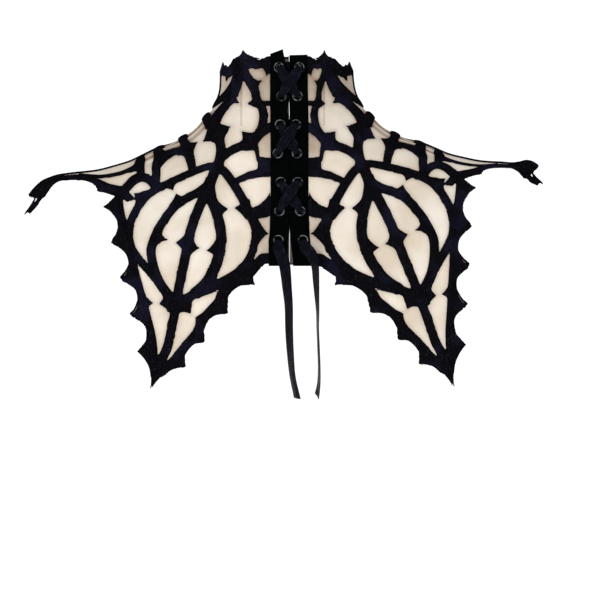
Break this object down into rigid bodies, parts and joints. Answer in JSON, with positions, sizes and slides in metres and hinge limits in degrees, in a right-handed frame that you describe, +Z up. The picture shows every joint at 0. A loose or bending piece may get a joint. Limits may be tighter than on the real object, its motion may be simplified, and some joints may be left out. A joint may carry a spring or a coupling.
{
  "type": "embroidered bib collar",
  "caption": "High-necked lace-up collar with pointed back and shoulder wings: black satin stitch tracery on a nude net ground, laced behind.",
  "frame": {"origin": "on the neck's axis, at the height where the neck band turns out into the shoulders", "axes": "+Z up along the neck, +X to the right as seen from behind, +Y towards the wearer's front, so the laced centre back faces -Y"},
  "size_m": [0.4115, 0.2049, 0.277],
  "materials": {
    "net": "nude net, matte",
    "satin_stitch": "black satin stitch",
    "velvet": "black velvet, matte",
    "eyelet_metal": "black enamel",
    "ribbon": "black satin"
  },
  "bodies": {
    "root": {"mesh_left": "net", "mesh_right": "net", "embroidery_left": "satin_stitch", "embroidery_right": "satin_stitch", "placket_left": "velvet", "placket_right": "velvet", "eyelet_left_1": "eyelet_metal", "eyelet_left_2": "eyelet_metal", "eyelet_left_3": "eyelet_metal", "eyelet_left_4": "eyelet_metal", "eyelet_left_5": "eyelet_metal", "eyelet_left_6": "eyelet_metal", "eyelet_left_7": "eyelet_metal", "eyelet_right_1": "eyelet_metal", "eyelet_right_2": "eyelet_metal", "eyelet_right_3": "eyelet_metal", "eyelet_right_4": "eyelet_metal", "eyelet_right_5": "eyelet_metal", "eyelet_right_6": "eyelet_metal", "eyelet_right_7": "eyelet_metal", "lace_left": "ribbon", "lace_right": "ribbon", "ribbon_tail_left": "ribbon", "ribbon_tail_right": "ribbon"}
  },
  "joints": []
}
